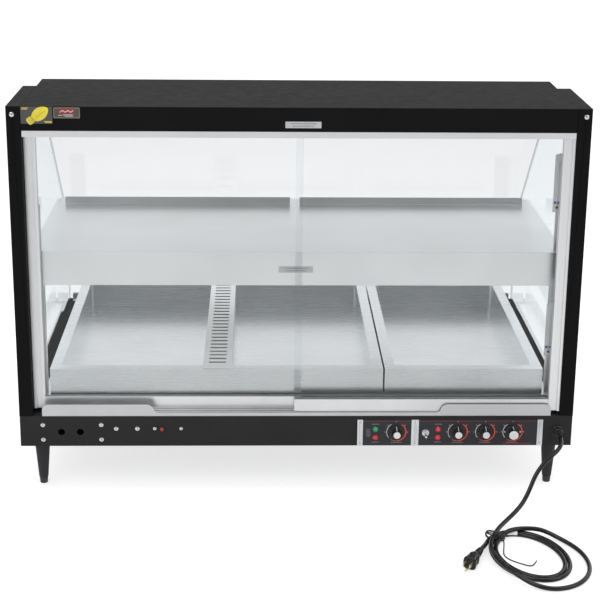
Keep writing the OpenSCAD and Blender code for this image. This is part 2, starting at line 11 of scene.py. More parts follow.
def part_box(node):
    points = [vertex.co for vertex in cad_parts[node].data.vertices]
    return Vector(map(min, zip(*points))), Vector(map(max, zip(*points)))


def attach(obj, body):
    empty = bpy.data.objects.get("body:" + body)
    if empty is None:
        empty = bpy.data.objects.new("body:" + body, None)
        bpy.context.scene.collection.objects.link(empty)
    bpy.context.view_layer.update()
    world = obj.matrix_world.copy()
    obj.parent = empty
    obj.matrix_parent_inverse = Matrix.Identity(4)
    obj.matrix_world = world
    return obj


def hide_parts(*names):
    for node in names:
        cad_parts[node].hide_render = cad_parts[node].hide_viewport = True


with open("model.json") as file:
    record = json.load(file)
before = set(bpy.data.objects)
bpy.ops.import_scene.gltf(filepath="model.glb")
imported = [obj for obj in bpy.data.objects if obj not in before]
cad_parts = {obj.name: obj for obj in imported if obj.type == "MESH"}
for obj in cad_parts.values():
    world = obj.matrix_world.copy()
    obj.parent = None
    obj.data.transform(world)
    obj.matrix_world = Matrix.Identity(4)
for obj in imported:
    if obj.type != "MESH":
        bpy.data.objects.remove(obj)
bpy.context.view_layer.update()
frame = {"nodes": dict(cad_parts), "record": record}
NODES = frame["nodes"]
MM = 0.001
CABINET = "cabinet"


# ---------------------------------------------------------------- shapes
def place(at, out=(0, 0, 1), spin=0.0):
    """A matrix whose local Z points along out, turned about it by spin degrees."""
    facing = Vector(out).to_track_quat("Z", "Y").to_matrix().to_4x4()
    return Matrix.Translation(Vector(at)) @ facing @ Matrix.Rotation(math.radians(spin), 4, "Z")


def add_object(name, data, material, body=CABINET):
    """Links an object, gives it its material, and lets it ride on a CAD body."""
    obj = bpy.data.objects.new(name, data)
    bpy.context.scene.collection.objects.link(obj)
    obj.data.materials.append(material)
    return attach(obj, body)


def finish_mesh(name, bm, smooth=True):
    """Turns a bmesh into a mesh with clean outward normals."""
    bmesh.ops.remove_doubles(bm, verts=bm.verts, dist=1e-6)
    bmesh.ops.recalc_face_normals(bm, faces=bm.faces)
    mesh = bpy.data.meshes.new(name)
    bm.to_mesh(mesh)
    bm.free()
    mesh.polygons.foreach_set("use_smooth", [smooth] * len(mesh.polygons))
    if smooth:
        mesh.set_sharp_from_angle(angle=math.radians(32))
    return mesh


def loft(bm, rings, matrix):
    """Skins a list of equal rings of (x, y, z) points, and caps both ends."""
    rows = [[bm.verts.new(matrix @ Vector(p)) for p in ring] for ring in rings]
    count = len(rows[0])
    for low, high in zip(rows, rows[1:]):
        for k in range(count):
            bm.faces.new((low[k], low[(k + 1) % count], high[(k + 1) % count], high[k]))
    bm.faces.new(list(reversed(rows[0])))
    bm.faces.new(rows[-1])


def lathe(bm, profile, matrix, sides=48, flutes=0, depth=0.0):
    """Turns (radius, height) pairs in millimetres about local Z. A third value marks a ring for flutes."""
    rings = []
    for radius, height, *marked in profile:
        ring = []
        for k in range(sides):
            turn = 2 * math.pi * k / sides
            cut = depth * (0.5 - 0.5 * math.cos(flutes * turn)) if marked else 0
            r = max(radius - cut, 0.01) * MM
            ring.append((r * math.cos(turn), r * math.sin(turn), height * MM))
        rings.append(ring)
    loft(bm, rings, matrix)


def extrude(bm, outline, thickness, matrix):
    """A flat shape from (x, y) pairs in millimetres, thickened along local +Z."""
    flat = [[(x * MM, y * MM, z * MM) for x, y in outline] for z in (0, thickness)]
    loft(bm, flat, matrix)


def arc_band(bm, radius, width, start, end, thickness, matrix):
    """A flat band along an arc, in millimetres and degrees clockwise from the top."""
    steps = 40
    for k in range(steps):
        corners = []
        for turn, r in ((k, radius - width / 2), (k, radius + width / 2),
                        (k + 1, radius + width / 2), (k + 1, radius - width / 2)):
            angle = math.radians(90 - start - (end - start) * turn / steps)
            corners.append((r * math.cos(angle), r * math.sin(angle)))
        extrude(bm, corners, thickness, matrix)


def rounded_outline(width, height, radius, steps=5):
    """A rectangle with round corners, centred on the origin, as (x, y) pairs."""
    points = []
    for cx, cy, turn in ((1, 1, 0), (-1, 1, 90), (-1, -1, 180), (1, -1, 270)):
        for k in range(steps + 1):
            angle = math.radians(turn + 90 * k / steps)
            points.append((cx * (width / 2 - radius) + radius * math.cos(angle),
                           cy * (height / 2 - radius) + radius * math.sin(angle)))
    return points


def bar(width, height, x=0.0, y=0.0):
    """A plain rectangle, centred on (x, y), as (x, y) pairs."""
    return [(x - width / 2, y - height / 2), (x + width / 2, y - height / 2),
            (x + width / 2, y + height / 2), (x - width / 2, y + height / 2)]


def tube(name, points, radius, material, profile=8):
    """A round tube along one smooth open spline through the points, in metres."""
    curve = bpy.data.curves.new(name, "CURVE")
    curve.dimensions = "3D"
    curve.bevel_depth = radius
    curve.bevel_resolution = profile
    curve.resolution_u = 8
    curve.use_fill_caps = True
    spline = curve.splines.new("NURBS")
    spline.points.add(len(points) - 1)
    for target, point in zip(spline.points, points):
        target.co = (*point, 1.0)
    spline.order_u = 4
    spline.use_endpoint_u = True
    return add_object(name, curve, material)


def loose_parts(node):
    """The box of each loose solid of a CAD node, as (lowest corner, highest corner)."""
    bm = bmesh.new()
    bm.from_mesh(NODES[node].data)
    bmesh.ops.remove_doubles(bm, verts=bm.verts, dist=1e-6)
    left = set(bm.verts)
    boxes = []
    while left:
        group = [left.pop()]
        for vert in group:
            for edge in vert.link_edges:
                other = edge.other_vert(vert)
                if other in left:
                    left.discard(other)
                    group.append(other)
        xyz = list(zip(*(v.co for v in group)))
        boxes.append((Vector([min(c) for c in xyz]), Vector([max(c) for c in xyz])))
    bm.free()
    return sorted(boxes, key=lambda b: (b[0].x, b[0].z))


def middle(box):
    """The centre of a (low, high) box."""
    return (box[0] + box[1]) / 2


# ---------------------------------------------------------------- material helpers
class Shader:
    """A material with a Principled shader and short ways to add procedural detail to it."""

    def __init__(self, name, **sockets):
        self.material = bpy.data.materials.new(name)
        self.material.use_nodes = True
        self.tree = self.material.node_tree
        self.surface = self.tree.nodes["Principled BSDF"]
        for socket, value in sockets.items():
            self.set(socket, value)

    def set(self, socket, value):
        """Sets a socket of the Principled shader, such as specular_ior_level."""
        names = {s.name.lower().replace(" ", "_"): s for s in self.surface.inputs}
        target = names[socket]
        if isinstance(value, (tuple, list)) and len(value) == 3:
            value = (*value, 1.0)
        if isinstance(value, bpy.types.NodeSocket):
            self.tree.links.new(value, target)
        else:
            target.default_value = value

    def add(self, kind, **settings):
        """Adds a node; settings name its attributes, or its sockets by their position as in_0."""
        made = self.tree.nodes.new("ShaderNode" + kind)
        for key, value in settings.items():
            if key.startswith("in_"):
                socket = made.inputs[int(key[3:])]
                if isinstance(value, bpy.types.NodeSocket):
                    self.tree.links.new(value, socket)
                else:
                    socket.default_value = value
            else:
                setattr(made, key, value)
        return made

    def place(self, stretch):
        """Object coordinates, stretched."""
        where = self.add("TexCoord").outputs["Object"]
        mapping = self.add("Mapping", in_0=where)
        mapping.inputs["Scale"].default_value = stretch
        return mapping.outputs[0]

    def noise(self, scale, stretch=(1, 1, 1), detail=3.0):
        """Noise on object coordinates; scale is in waves per metre."""
        made = self.add("TexNoise", in_0=self.place(stretch))
        made.inputs["Scale"].default_value = scale
        made.inputs["Detail"].default_value = detail
        made.inputs["Roughness"].default_value = 0.55
        return made.outputs[0]

    def spread(self, factor, low, high, start=0.3, end=0.7):
        """Maps a factor to a range of values."""
        return self.add("MapRange", in_0=factor, in_1=start, in_2=end, in_3=low, in_4=high).outputs[0]

    def tint(self, factor, dark, light, start=0.3, end=0.7):
        """Maps a factor to a blend of two colours."""
        ramp = self.add("ValToRGB", in_0=factor)
        first, last = ramp.color_ramp.elements
        first.position, first.color = start, (*dark, 1)
        last.position, last.color = end, (*light, 1)
        return ramp.outputs[0]

    def bump(self, *heights):
        """Chains bumps, each of (height, strength, distance), into the normal."""
        normal = None
        for height, strength, distance in heights:
            made = self.add("Bump")
            made.inputs["Strength"].default_value = strength
            made.inputs["Distance"].default_value = distance
            self.tree.links.new(height, made.inputs["Height"])
            if normal:
                self.tree.links.new(normal, made.inputs["Normal"])
            normal = made.outputs[0]
        self.set("normal", normal)


def shade(colour, factor):
    """A colour made lighter or darker."""
    return tuple(min(1.0, c * factor) for c in colour)


# ---------------------------------------------------------------- materials
def powder_coat(name, colour):
    """Satin powder coat: a fine orange-peel skin with faint cloudiness."""
    s = Shader(name, specular_ior_level=0.03)
    s.set("base_color", s.tint(s.noise(9), shade(colour, 0.92), shade(colour, 1.08)))
    s.set("roughness", s.spread(s.noise(60), 0.52, 0.59))
    s.bump((s.noise(420, detail=2), 0.35, 0.00012), (s.noise(1700, detail=1), 0.25, 0.00006))
    return s.material


def brushed(name, colour, smoothest, roughest, grain, depth=0.12):
    """Brushed or rolled metal: long streaks along one axis, faint wiping marks and cloudiness."""
    s = Shader(name, metallic=1.0, specular_ior_level=0.5)
    streaks = s.noise(1, stretch=grain, detail=4)
    clouds = s.noise(5, detail=2)
    s.set("base_color", s.tint(clouds, shade(colour, 0.95), shade(colour, 1.04)))
    s.set("roughness", s.spread(streaks, smoothest, roughest))
    s.bump((streaks, depth, 0.00008), (s.noise(14, detail=1), 0.05, 0.001))
    return s.material


def tray_sheet(name, colour, front_shade):
    """Fine-grained stainless sheet whose front faces are painted darker, a painted reflection of the dim
    sill before them.
    """
    s = Shader(name, metallic=1.0, specular_ior_level=0.5)
    streaks = s.noise(1, stretch=(4, 600, 600), detail=3)
    clouds = s.tint(s.noise(6, detail=2), shade(colour, 0.96), shade(colour, 1.03))
    # Painted shade: faces turned to the front get a darker base colour, which stands for the dim sill they
    # mirror.
    facing = s.add("SeparateXYZ", in_0=s.add("NewGeometry").outputs["Normal"])
    ahead = s.add("Mix", data_type="RGBA", blend_type="MULTIPLY")
    painted_front_shade = s.tint(s.spread(facing.outputs[1], 1, 0, -0.9, -0.5), (1, 1, 1), (front_shade,) * 3, 0, 1)
    ahead.inputs[0].default_value = 1.0
    s.tree.links.new(clouds, ahead.inputs[6])
    s.tree.links.new(painted_front_shade, ahead.inputs[7])
    s.set("base_color", ahead.outputs[2])
    s.set("roughness", s.spread(streaks, 0.25, 0.28))
    s.bump((streaks, 0.015, 0.00003), (s.noise(12, detail=1), 0.02, 0.001))
    return s.material


def coated_steel(name, colour):
    """Light coated sheet steel with a soft sheen."""
    s = Shader(name, specular_ior_level=0.5, metallic=0.35)
    s.set("base_color", s.tint(s.noise(8), shade(colour, 0.95), shade(colour, 1.03)))
    s.set("roughness", s.spread(s.noise(1, stretch=(3, 260, 260)), 0.3, 0.42))
    s.bump((s.noise(900, detail=2), 0.12, 0.00008))
    return s.material


def clear_glass(name, tint, edge, edge_axis):
    """Clear glass: see-through faces that reflect by angle, and edges with the colour of their depth."""
    edge_body = 0.4
    s = Shader(name)
    tree = s.tree
    tree.nodes.remove(s.surface)
    smears = s.noise(6, detail=3)
    sheer = s.add("BsdfTransparent", in_0=(*tint, 1.0))
    gloss = s.add("BsdfGlossy")
    gloss.inputs["Color"].default_value = (0.96, 0.98, 0.98, 1.0)
    tree.links.new(s.spread(smears, 0.01, 0.06), gloss.inputs["Roughness"])
    geometry = s.add("NewGeometry")
    outer = s.add("Math", operation="SUBTRACT", in_0=1.0, in_1=geometry.outputs["Backfacing"])
    by_angle = s.add("Fresnel", in_0=1.38)
    fresnel = s.add("Math", operation="MULTIPLY", in_0=by_angle.outputs[0], in_1=outer.outputs[0])
    face = s.add("MixShader", in_0=fresnel.outputs[0], in_1=sheer.outputs[0], in_2=gloss.outputs[0])
    body = s.add("BsdfPrincipled")
    body.inputs["Base Color"].default_value = (*edge, 1.0)
    body.inputs["Roughness"].default_value = 0.12
    thin = s.add("BsdfTransparent", in_0=(*shade(tint, 0.8), 1.0))
    rim = s.add("MixShader", in_0=edge_body, in_1=thin.outputs[0], in_2=body.outputs[0])
    normal = s.add("SeparateXYZ", in_0=geometry.outputs["Normal"])
    side = s.add("Math", operation="ABSOLUTE", in_0=normal.outputs[edge_axis])
    on_edge = s.add("Math", operation="GREATER_THAN", in_0=side.outputs[0], in_1=0.7)
    if edge_axis == 0:
        upright = s.add("Math", operation="ABSOLUTE", in_0=normal.outputs[2])
        top = s.add("Math", operation="GREATER_THAN", in_0=upright.outputs[0], in_1=0.92)
        on_edge = s.add("Math", operation="MAXIMUM", in_0=on_edge.outputs[0], in_1=top.outputs[0])
    mixed = s.add("MixShader", in_0=on_edge.outputs[0], in_1=face.outputs[0], in_2=rim.outputs[0])
    output = next(n for n in tree.nodes if n.type == "OUTPUT_MATERIAL")
    tree.links.new(mixed.outputs[0], output.inputs["Surface"])
    return s.material


def plastic(name, colour, roughness, grain=900, depth=0.15, specular=0.5):
    """Moulded plastic with a fine spark-eroded grain."""
    s = Shader(name, specular_ior_level=specular)
    s.set("base_color", s.tint(s.noise(30), shade(colour, 0.88), shade(colour, 1.12)))
    s.set("roughness", s.spread(s.noise(180), roughness - 0.05, roughness + 0.06))
    s.bump((s.noise(grain, detail=2), depth, 0.0001))
    return s.material


def overlay_film(name, colour):
    """Printed polycarbonate overlay: satin, with a velvet grain and a soft coat."""
    s = Shader(name, specular_ior_level=0.35, coat_weight=0.15, coat_roughness=0.3)
    s.set("base_color", s.tint(s.noise(40), shade(colour, 0.92), shade(colour, 1.08)))
    s.set("roughness", s.spread(s.noise(300), 0.42, 0.5))
    s.bump((s.noise(2600, detail=1), 0.1, 0.00005))
    return s.material


def lens(name, colour, glow):
    """Translucent moulded lens with fine rings, faintly lit from inside."""
    s = Shader(name, specular_ior_level=0.6, coat_weight=0.6, coat_roughness=0.08,
               emission_strength=0.22, emission_color=glow, subsurface_weight=0.25)
    s.set("base_color", s.tint(s.noise(260), shade(colour, 0.8), shade(colour, 1.2)))
    s.set("roughness", s.spread(s.noise(120), 0.14, 0.24))
    s.bump((s.noise(1500, detail=1), 0.1, 0.00008))
    return s.material


def rubber(name, colour, roughness):
    """Cord jacket: satin, with faint lengthwise drawing marks and dust."""
    s = Shader(name, specular_ior_level=0.42)
    dust = s.noise(35, detail=4)
    s.set("base_color", s.tint(dust, shade(colour, 0.85), shade(colour, 1.5), 0.35, 0.8))
    s.set("roughness", s.spread(s.noise(90), roughness - 0.06, roughness + 0.08))
    s.bump((s.noise(1300, detail=2), 0.14, 0.0001))
    return s.material


def frosted(name, colour):
    """Frosted bulb glass."""
    s = Shader(name, specular_ior_level=0.5, subsurface_weight=0.3, coat_weight=0.3, coat_roughness=0.2)
    s.set("base_color", s.tint(s.noise(50), shade(colour, 0.95), colour))
    s.set("roughness", s.spread(s.noise(200), 0.35, 0.5))
    s.bump((s.noise(1500), 0.08, 0.0001))
    return s.material


def sheath_metal(name, colour):
    """Heating rod sheath, blued and browned by heat in patches."""
    s = Shader(name, metallic=0.8, specular_ior_level=0.5)
    s.set("base_color", s.tint(s.noise(22, stretch=(1, 3, 3)), shade(colour, 0.7), (0.3, 0.24, 0.2)))
    s.set("roughness", s.spread(s.noise(70), 0.42, 0.6))
    s.bump((s.noise(800), 0.2, 0.0001))
    return s.material


MATERIALS = {
    "black_powder": powder_coat("black_powder", (0.0090, 0.0090, 0.0093)),
    "stainless": brushed("stainless", (0.79, 0.80, 0.805), 0.28, 0.34, grain=(3, 500, 500), depth=0.06),
    "galvanised": brushed("galvanised", (0.55, 0.56, 0.57), 0.38, 0.5, grain=(40, 40, 40)),
    "alloy": brushed("alloy", (0.80, 0.81, 0.82), 0.3, 0.4, grain=(90, 90, 2), depth=0.06),
    "guard_steel": coated_steel("guard_steel", (0.62, 0.63, 0.645)),
    "bulb_glass": frosted("bulb_glass", (0.9, 0.89, 0.84)),
    "leg_plastic": plastic("leg_plastic", (0.035, 0.035, 0.039), 0.5, specular=0.15),
    "foot_rubber": plastic("foot_rubber", (0.05, 0.05, 0.053), 0.6, grain=500, depth=0.25, specular=0.3),
    "overlay": overlay_film("overlay", (0.022, 0.023, 0.029)),
    "knob_black": plastic("knob_black", (0.012, 0.012, 0.012), 0.28, grain=600, depth=0.08),
    "lens_green": lens("lens_green", (0.005, 0.25, 0.1), (0.005, 0.3, 0.12, 1)),
    "lens_red": lens("lens_red", (0.55, 0.008, 0.035), (0.6, 0.01, 0.04, 1)),
    "button_red": plastic("button_red", (0.45, 0.02, 0.03), 0.3),
    "ceramic": plastic("ceramic", (0.78, 0.75, 0.68), 0.35),
    "sheath": sheath_metal("sheath", (0.16, 0.15, 0.14)),
    "zinc": brushed("zinc", (0.72, 0.73, 0.74), 0.16, 0.28, grain=(200, 200, 200)),
    "white_plastic": plastic("white_plastic", (0.8, 0.81, 0.82), 0.4),
    "cord_rubber": rubber("cord_rubber", (0.006, 0.006, 0.007), 0.15),
    "prong_brass": brushed("prong_brass", (0.86, 0.78, 0.52), 0.25, 0.35, grain=(60, 300, 60)),
}
GLASS = {
    "door_glass_left": clear_glass("door_pane_left", (0.965, 0.97, 0.972), (0.55, 0.62, 0.62), 0),
    "door_glass_right": clear_glass("door_pane_right", (0.965, 0.97, 0.972), (0.55, 0.62, 0.62), 0),
    "curved_glass": clear_glass("bent_pane", (0.88, 0.882, 0.888), (0.5, 0.58, 0.58), 0),
    "side_glass_left": clear_glass("end_pane_left", (0.93, 0.945, 0.955), (0.52, 0.6, 0.6), 1),
    "side_glass_right": clear_glass("end_pane_right", (0.93, 0.945, 0.955), (0.52, 0.6, 0.6), 1),
}
TRAY_STEEL = tray_sheet("tray_steel", (0.85, 0.87, 0.88), 0.74)
VENT_ALLOY = coated_steel("vent_alloy", (0.93, 0.935, 0.94))
BASE_BLACK = powder_coat("base_black", (0.033, 0.033, 0.0335))
CAP_METAL = coated_steel("cap_metal", (0.86, 0.86, 0.87))
PRINT_WHITE = plastic("print_white", (0.72, 0.73, 0.75), 0.45)
PRINT_ORANGE = plastic("print_orange", (0.85, 0.065, 0.02), 0.45)
PRINT_RED = plastic("print_red", (0.35, 0.02, 0.025), 0.45)
PRINT_SLEEVE = plastic("print_sleeve", (0.93, 0.93, 0.94), 0.4)
PRINT_GREY = plastic("print_grey", (0.3, 0.31, 0.33), 0.45)
PRINT_YELLOW = plastic("print_yellow", (0.84, 0.72, 0.045), 0.45)
PRINT_OCHRE = plastic("print_ochre", (0.42, 0.33, 0.06), 0.45)
PRINT_BLUE = plastic("print_blue", (0.06, 0.15, 0.5), 0.4)
LABEL_GREY = plastic("label_grey", (0.5, 0.51, 0.52), 0.4)
LABEL_DARK = overlay_film("label_dark", (0.075, 0.075, 0.085))


# ---------------------------------------------------------------- camera
CAMERA_AT = (-0.0793, -3.0892, 1.3862)
CAMERA_TURN = (74.24116, -0.58515, -1.48488)
CAMERA_LENS = 86.262
CAMERA_SHIFT = -0.14


def add_camera():
    """The photographer's place: before the case, a little above it and left of its middle."""
    data = bpy.data.cameras.new("camera")
    data.lens = CAMERA_LENS
    data.sensor_width = 36
    data.shift_y = CAMERA_SHIFT
    obj = bpy.data.objects.new("camera", data)
    obj.location = CAMERA_AT
    obj.rotation_euler = [math.radians(a) for a in CAMERA_TURN]
    bpy.context.scene.collection.objects.link(obj)
    bpy.context.scene.camera = obj


add_camera()

# ---------------------------------------------------------------- cord
CORD_DIAMETER = 9 * MM
CASE_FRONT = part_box("base_housing")[0].y
CORD_RUN = [
    (547, -36, 134), (546, -55, 132), (538, -72, 127), (523, -83, 119), (507, -90, 108), (494, -96, 94),
    (483, -103, 78), (475, -111, 61), (466, -120, 45), (455, -131, 32), (441, -144, 23), (427, -159, 18),
    (414, -175, 16), (402, -192, 15), (392, -209, 14.6), (383, -227, 14.4),
]
COIL_MIDDLE = (441.3, -292.3)
COIL_HALF = (91.9, 65.8)
COIL_AXIS = -68.9
COIL_START = 223.5
COIL_PITCH = 9.5
FLOOR_Z = 4.6
# How far the wide first turn stands outside the other two, and its height, by its share of a turn
WIDE_TURN = [
    (0.0, 1.5, 14.4), (0.1, 3, 14.4), (0.2, 9.5, 14.4), (0.27, 20, 14.2), (0.35, 35, 5.3),
    (0.42, 40.5, 4.6), (0.5, 42, 4.6), (0.58, 40, 4.6), (0.66, 35, 4.75), (0.71, 29.5, 6.0),
    (0.75, 23, 13.9), (0.79, 14, 14.3), (0.83, 5, 14.3), (0.87, -2.5, 14.3), (0.9, -7.8, 13.8),
    (0.925, -10.6, 11.4), (0.96, -10.4, 6.0), (1.0, -9.5, 4.6),
]
PLUG_START = Vector((349, -283.5, 13.5))
PLUG_TURN = 241


def smooth_between(table, t):
    """The values of a table at t, with a smooth curve through its rows."""
    last = len(table) - 1
    i = max(k for k in range(last) if table[k][0] <= t or k == 0)
    rows = [table[max(0, i - 1)], table[i], table[i + 1], table[min(last, i + 2)]]
    span = rows[2][0] - rows[1][0]
    u = min(1.0, max(0.0, (t - rows[1][0]) / span))
    values = []
    for c in range(1, len(table[0])):
        before = (rows[2][c] - rows[0][c]) / max(rows[2][0] - rows[0][0], 1e-6) * span
        after = (rows[3][c] - rows[1][c]) / max(rows[3][0] - rows[1][0], 1e-6) * span
        values.append((2 * u**3 - 3 * u**2 + 1) * rows[1][c] + (u**3 - 2 * u**2 + u) * before
                      + (-2 * u**3 + 3 * u**2) * rows[2][c] + (u**3 - u**2) * after)
    return values


def oval_point(share, outward, height):
    """A point beside the coil's oval: share of its length from the start, and distance outward."""
    angle = OVAL_ANGLES[round((share % 1.0) * OVAL_STEPS)]
    turn = math.radians(COIL_AXIS)
    a, b = COIL_HALF
    u, v = a * math.cos(angle), b * math.sin(angle)
    nu, nv = b * math.cos(angle), a * math.sin(angle)
    size = math.hypot(nu, nv)
    u, v = u + outward * nu / size, v + outward * nv / size
    return (COIL_MIDDLE[0] + u * math.cos(turn) - v * math.sin(turn),
            COIL_MIDDLE[1] + u * math.sin(turn) + v * math.cos(turn), height)


def oval_angles(steps):
    """The oval's angles at equal steps along its length, from the coil's start."""
    a, b = COIL_HALF
    fine = 20 * steps
    angles = [math.radians(COIL_START + 360 * k / fine) for k in range(fine + 1)]
    lengths = [0.0]
    for k in range(fine):
        mid = (angles[k] + angles[k + 1]) / 2
        lengths.append(lengths[-1] + math.hypot(a * math.sin(mid), b * math.cos(mid)) * 2 * math.pi / fine)
    found = []
    k = 0
    for n in range(steps + 1):
        while k < fine and lengths[k] < lengths[-1] * n / steps:
            k += 1
        found.append(angles[k])
    return found


OVAL_STEPS = 600
OVAL_ANGLES = oval_angles(OVAL_STEPS)


def coil_points():
    """Three turns: a wide one that crosses the other two, and two that lie side by side."""
    points = []
    per_turn = 25
    for n in range(1, 3 * per_turn):
        share = n / per_turn
        if share <= 1:
            outward, height = smooth_between(WIDE_TURN, share)
        else:
            outward, height = COIL_PITCH * (share - 2), FLOOR_Z
        points.append(oval_point(share, outward, height))
    points += [oval_point(3.0, COIL_PITCH, FLOOR_Z + 0.5), (360.5, -257.5, 8.2), (355.2, -270.8, 11.9)]
    return points


def in_row(points):
    """Case millimetres, with Y from the case's front, to the row frame in metres."""
    return [Vector((x * MM, y * MM + CASE_FRONT, z * MM)) for x, y, z in points]


def curve_length(obj):
    """The length of a curve's centreline, in metres."""
    evaluated = obj.copy()
    evaluated.data = obj.data.copy()
    evaluated.data.bevel_depth = 0
    bpy.context.scene.collection.objects.link(evaluated)
    mesh = evaluated.evaluated_get(bpy.context.evaluated_depsgraph_get()).to_mesh()
    co = [v.co.copy() for v in mesh.vertices]
    length = sum((q - p).length for p, q in zip(co, co[1:]))
    bpy.data.objects.remove(evaluated)
    return length


cord_route = in_row(CORD_RUN + coil_points() + [tuple(PLUG_START)])
cord = tube("mains_cord", cord_route, CORD_DIAMETER / 2, MATERIALS["cord_rubber"])
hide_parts("cord", "cord_coil")


# ---------------------------------------------------------------- gland, plug, tie and tag
def add_gland():
    """The cord's gland: a round nut, a dome and a ribbed boot that narrows to the cord."""
    low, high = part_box("cord_gland")
    centre = Vector((middle((low, high)).x, CASE_FRONT, middle((low, high)).z))
    bm = bmesh.new()
    profile = [(8, -3), (8, 0), (12.6, 0), (13, 0.5), (13, 3.2), (12.2, 4), (11.2, 4.4), (10.9, 8.5),
               (10.2, 11.2), (8.9, 12.8)]
    for k in range(6):
        y = 13.4 + 3.7 * k
        r = 8.6 - 0.5 * k
        profile += [(r, y, 1), (r, y + 1.9, 1), (r - 1.1, y + 2.4), (r - 1.2, y + 3.3)]
    profile += [(5.3, 36), (4.6, 36)]
    lathe(bm, profile, place(centre, (0, -1, 0)), sides=48)
    gland = add_object("gland", finish_mesh("gland", bm), MATERIALS["knob_black"])
    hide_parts("cord_gland")
    return gland


def add_plug(start):
    """A moulded three-pin plug: ribbed relief, waisted grip and flat face; the pins stay the CAD's own."""
    turn = math.radians(PLUG_TURN)
    along = Vector((math.cos(turn), math.sin(turn), 0))
    matrix = place(start, along, 90)
    sections = [(-1, 4.7, 4.7, 2), (0, 5.4, 5.4, 2)]
    for k in range(5):
        r = 6.2 + 0.45 * k
        sections += [(2 + 4.2 * k, r, r, 2), (4.4 + 4.2 * k, r, r, 2),
                     (4.9 + 4.2 * k, r - 1, r - 1, 2), (5.7 + 4.2 * k, r - 1, r - 1, 2)]
    sections += [(24, 8.4, 8.0, 2), (29, 10.4, 9.2, 2.2), (34, 12.2, 10.6, 2.6), (38, 12.4, 10.9, 3),
                 (46, 11.6, 10.6, 3), (52, 12.4, 11.6, 3.2), (56, 13.0, 12.6, 3.4), (59.4, 13.0, 12.8, 3.4),
                 (60, 12.4, 12.2, 3.4)]
    rings = []
    for z, half_x, half_y, square in sections:
        ring = []
        for k in range(40):
            a = 2 * math.pi * k / 40
            c, s = math.cos(a), math.sin(a)
            r = (abs(c) ** square + abs(s) ** square) ** (-1 / square)
            ring.append((half_x * r * c * MM, half_y * r * s * MM, z * MM))
        rings.append(ring)
    bm = bmesh.new()
    loft(bm, rings, matrix)
    for side in (-1, 1):
        for k in range(5):
            ridge = place((0, side * 10.4 * MM, (40 + 3.2 * k) * MM), (0, side, 0))
            extrude(bm, rounded_outline(13, 1.5, 0.7, 3), 1.2, matrix @ ridge)
    plug = add_object("plug", finish_mesh("plug", bm), MATERIALS["cord_rubber"])
    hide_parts("plug_body")
    return plug


def add_tie():
    """A twist tie: two wraps round the bundle, a twist, and a loose tail inside the coil."""
    points = []
    centre = Vector((386.5, -222, 10.2))
    across = Vector((math.cos(math.radians(150)), math.sin(math.radians(150)), 0))
    along = Vector((-across.y, across.x, 0))
    for k in range(41):
        angle = 2 * math.pi * 2 * k / 40 + math.pi
        c, s = math.cos(angle), math.sin(angle)
        wide = 19.5 * math.copysign(abs(c) ** 0.7, c)
        tall = 9.0 * math.copysign(abs(s) ** 0.7, s)
        p = centre + across * wide + along * (4.5 * k / 40 - 2) + Vector((0, 0, tall))
        points.append(tuple(p))
    points += [(366.5, -217, 14), (368, -226, 20.5), (377, -232, 21.5), (389, -236, 21), (398, -241, 19),
               (400, -250, 12), (398, -262, 5), (395, -275, 2), (395, -288, 1.6), (402, -300, 1.5),
               (413, -310, 1.5), (426, -319, 1.5), (437, -326, 1.6), (444, -325, 2.2), (449, -318, 3.5),
               (453, -312, 5)]
    tie = tube("twist_tie", in_row(points), 1.3 * MM, MATERIALS["knob_black"], profile=4)
    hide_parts("cord_tie")
    return tie


def add_tag():
    """A white sleeve on the inner turn of the coil."""
    shares = (1.84, 1.85, 1.86, 1.87, 1.88, 1.885)
    points = [oval_point(share, COIL_PITCH * (share - 2), FLOOR_Z + 1.1) for share in shares]
    return tube("cord_tag", in_row(points), 5.6 * MM, PRINT_SLEEVE)


gland = add_gland()
plug = add_plug(cord_route[-1])
tie = add_tie()
tag = add_tag()
curve_length(cord)


# ---------------------------------------------------------------- CAD nodes: materials and soft edges
EDGE = {"legs": 1.2, "leg_feet": 1.0, "base_housing": 0.9, "post_left": 0.9, "post_right": 0.9,
        "canopy_shell": 0.9, "door_guard": 0.4, "door_stile_left": 0.5, "door_stile_right": 0.5,
        "lamp_bulbs": 0.6, "thermometers": 0.3, "plug_prongs": 0.4}
NO_EDGE = {"curved_glass", "tray_left", "tray_left_inner"}


def dress_nodes():
    """Gives each CAD node its record slot's material and a small bevel."""
    slots = {part["node"]: part["material_slot"] for part in frame["record"]["subparts"]}
    own = {"tray_left": TRAY_STEEL, "tray_left_inner": TRAY_STEEL, "tray_right": TRAY_STEEL,
           "vent_cover": VENT_ALLOY, "base_housing": BASE_BLACK, **GLASS}
    for name, obj in NODES.items():
        obj.data.materials.clear()
        obj.data.materials.append(own.get(name) or MATERIALS[slots[name]])
        if name in NO_EDGE:
            continue
        weld = obj.modifiers.new("weld", "WELD")
        weld.merge_threshold = 1e-6
        bevel = obj.modifiers.new("bevel", "BEVEL")
        bevel.width = EDGE.get(name, 0.35) * MM
        bevel.segments = 2
        bevel.limit_method = "ANGLE"
        bevel.angle_limit = math.radians(40)
        bevel.harden_normals = True


dress_nodes()


# ---------------------------------------------------------------- controls
PRINT_FILM = 0.12
DIAL_RADIUS = 20.3


def panel_front(node):
    """The front face of a control panel, as its Y."""
    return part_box(node)[0].y


def print_on(y, x, z):
    """A matrix for print on a front face, with local X to the operator's right and local Y up."""
    return Matrix.Translation((x, y, z)) @ Matrix.Rotation(math.radians(90), 4, "X")


def add_print(name, material, shapes):
    """One thin printed piece from a list of (outline, matrix) pairs."""
    bm = bmesh.new()
    for outline, matrix in shapes:
        extrude(bm, outline, PRINT_FILM, matrix)
    add_object(name, finish_mesh(name, bm, smooth=False), material)


